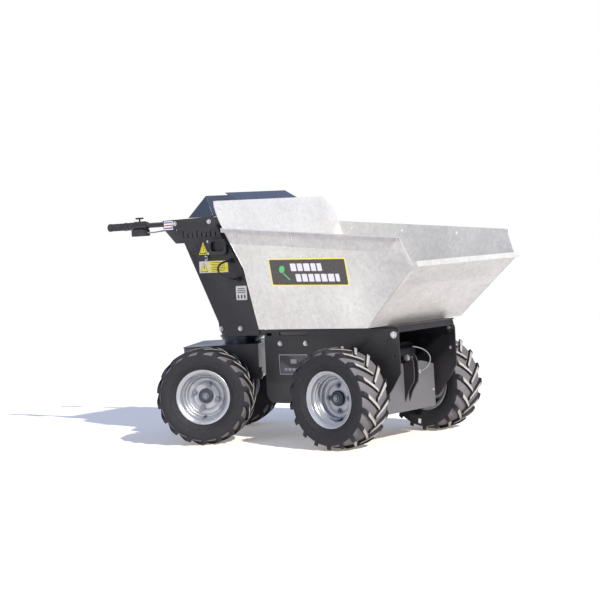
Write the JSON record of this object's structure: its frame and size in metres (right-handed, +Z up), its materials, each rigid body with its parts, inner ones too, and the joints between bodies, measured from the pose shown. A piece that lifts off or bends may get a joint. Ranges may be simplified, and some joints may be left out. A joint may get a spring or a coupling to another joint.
{
  "type": "power wheelbarrow",
  "caption": "Electric powered barrow with a tipping galvanised skip on a black plate chassis, lugged tyres, a swivelling rear bogie and a handled control console.",
  "frame": {"origin": "Centre of the bounding box in plan, on the ground under the tyres.", "axes": "+X points to the tipping end, +Y to the machine's left, +Z up. The chassis and skip are parallel to X; the rear bogie is stored steered."},
  "size_m": [1.8478, 0.888, 1.0554],
  "materials": {
    "tyre": "dusty black rubber with chevron lugs",
    "rim": "silver paint on pressed steel, satin",
    "black_powder": "satin black powder coat",
    "galvanised": "hot-dip galvanised sheet with spangle",
    "zinc": "bright zinc plate",
    "grip_rubber": "moulded rubber",
    "black_plastic": "moulded black plastic",
    "cable_black": "smooth cable sheath",
    "cable_pale": "pale grey cable sheath",
    "guard_silver": "silver grey paint on folded sheet",
    "cast_case": "as-cast aluminium",
    "motor_dark": "dusty dark paint",
    "axle_steel": "dark oiled steel",
    "battery_case": "moulded battery case",
    "label_yellow": "yellow label film",
    "label_pale": "pale label film",
    "decal_dark": "dark decal film with yellow border",
    "badge_metal": "dark plate with bright raised frame",
    "buffer_rubber": "moulded rubber buffer"
  },
  "bodies": {
    "chassis": {"chassis_side_right": "black_powder", "chassis_side_left": "black_powder", "chassis_cross_plates": "black_powder", "skip_buffers": "buffer_rubber", "chassis_bolts": "zinc", "badge_plate": "badge_metal", "tip_bolts": "zinc", "transaxle_case": "cast_case", "front_axle": "axle_steel", "drive_motor": "motor_dark", "guard_box": "guard_silver", "bracket_plates": "black_powder", "guard_fasteners": "zinc", "wire_loop": "cable_pale", "battery_pack": "battery_case", "rear_tongue": "black_powder", "turntable_upper": "black_powder", "console_side_right": "black_powder", "console_side_left": "black_powder", "console_covers": "black_powder", "console_hood": "black_powder", "console_bolts": "zinc", "handle_tube_right": "black_powder", "handle_tube_left": "black_powder", "grip_left": "grip_rubber", "throttle_collar": "black_plastic", "switch_housing": "black_plastic", "control_pod": "black_plastic", "control_cable": "cable_pale", "cable_glands": "black_plastic", "looped_cable": "cable_black", "handle_hinge": "zinc", "key_switch": "zinc", "label_triangle": "label_yellow", "label_warning": "label_yellow", "labels_pale": "label_pale"},
    "skip": {"skip_tub": "galvanised", "skip_brackets": "black_powder", "skip_guard_plate": "black_powder", "skip_guard_bolts": "zinc", "skip_decals": "decal_dark"},
    "bogie": {"turntable_lower": "black_powder", "bogie_box": "black_powder", "bogie_top_plate": "black_powder", "rear_axle": "axle_steel", "bogie_bolts": "zinc"},
    "wheel_front_right": {"tyre_fr": "tyre", "rim_fr": "rim"},
    "wheel_front_left": {"tyre_fl": "tyre", "rim_fl": "rim"},
    "wheel_rear_right": {"tyre_rr": "tyre", "rim_rr": "rim"},
    "wheel_rear_left": {"tyre_rl": "tyre", "rim_rl": "rim"},
    "throttle": {"throttle_grip": "grip_rubber"},
    "direction_switch": {"direction_lever": "black_plastic"},
    "button": {"pod_button": "black_plastic"},
    "ignition_key": {"key": "black_plastic"},
    "side_loop": {"side_handle": "black_plastic"}
  },
  "joints": [
    {"name": "bogie_steer", "type": "hinge", "parent": "chassis", "child": "bogie", "pos_m": [-0.32093, 0.04552, 0.431], "axis": [0, 0, 1], "range_deg": [-67, 6]},
    {"name": "skip_tip", "type": "hinge", "parent": "chassis", "child": "skip", "pos_m": [0.66607, 0.04552, 0.443], "axis": [0, 1, 0], "range_deg": [0, 88]},
    {"name": "front_right_spin", "type": "hinge", "parent": "chassis", "child": "wheel_front_right", "pos_m": [0.46907, -0.27048, 0.203], "axis": [0, 1, 0], "continuous": true},
    {"name": "front_left_spin", "type": "hinge", "parent": "chassis", "child": "wheel_front_left", "pos_m": [0.46907, 0.36152, 0.203], "axis": [0, 1, 0], "continuous": true},
    {"name": "rear_right_spin", "type": "hinge", "parent": "bogie", "child": "wheel_rear_right", "pos_m": [-0.25016, -0.27954, 0.203], "axis": [-0.5075, 0.8616, 0], "continuous": true},
    {"name": "rear_left_spin", "type": "hinge", "parent": "bogie", "child": "wheel_rear_left", "pos_m": [-0.57092, 0.26501, 0.203], "axis": [-0.5075, 0.8616, 0], "continuous": true},
    {"name": "throttle_twist", "type": "hinge", "parent": "chassis", "child": "throttle", "pos_m": [-0.87093, -0.13548, 0.937], "axis": [1, 0, 0], "range_deg": [0, 65], "stiffness_Nm_per_rad": 0.25},
    {"name": "direction_lever_tilt", "type": "hinge", "parent": "chassis", "child": "direction_switch", "pos_m": [-0.73093, -0.13548, 0.9535], "axis": [0, 1, 0], "range_deg": [-18, 18]},
    {"name": "button_press", "type": "slide", "parent": "chassis", "child": "button", "axis": [1, 0, 0], "range_m": [0, 0.003], "stiffness_N_per_m": 200},
    {"name": "key_turn", "type": "hinge", "parent": "chassis", "child": "ignition_key", "pos_m": [-0.32093, -0.15848, 0.781], "axis": [0, 1, 0], "range_deg": [0, 90]},
    {"name": "side_handle_swing", "type": "hinge", "parent": "chassis", "child": "side_loop", "pos_m": [-0.29893, -0.15948, 0.826], "axis": [0, 0, -1], "range_deg": [0, 100]}
  ]
}
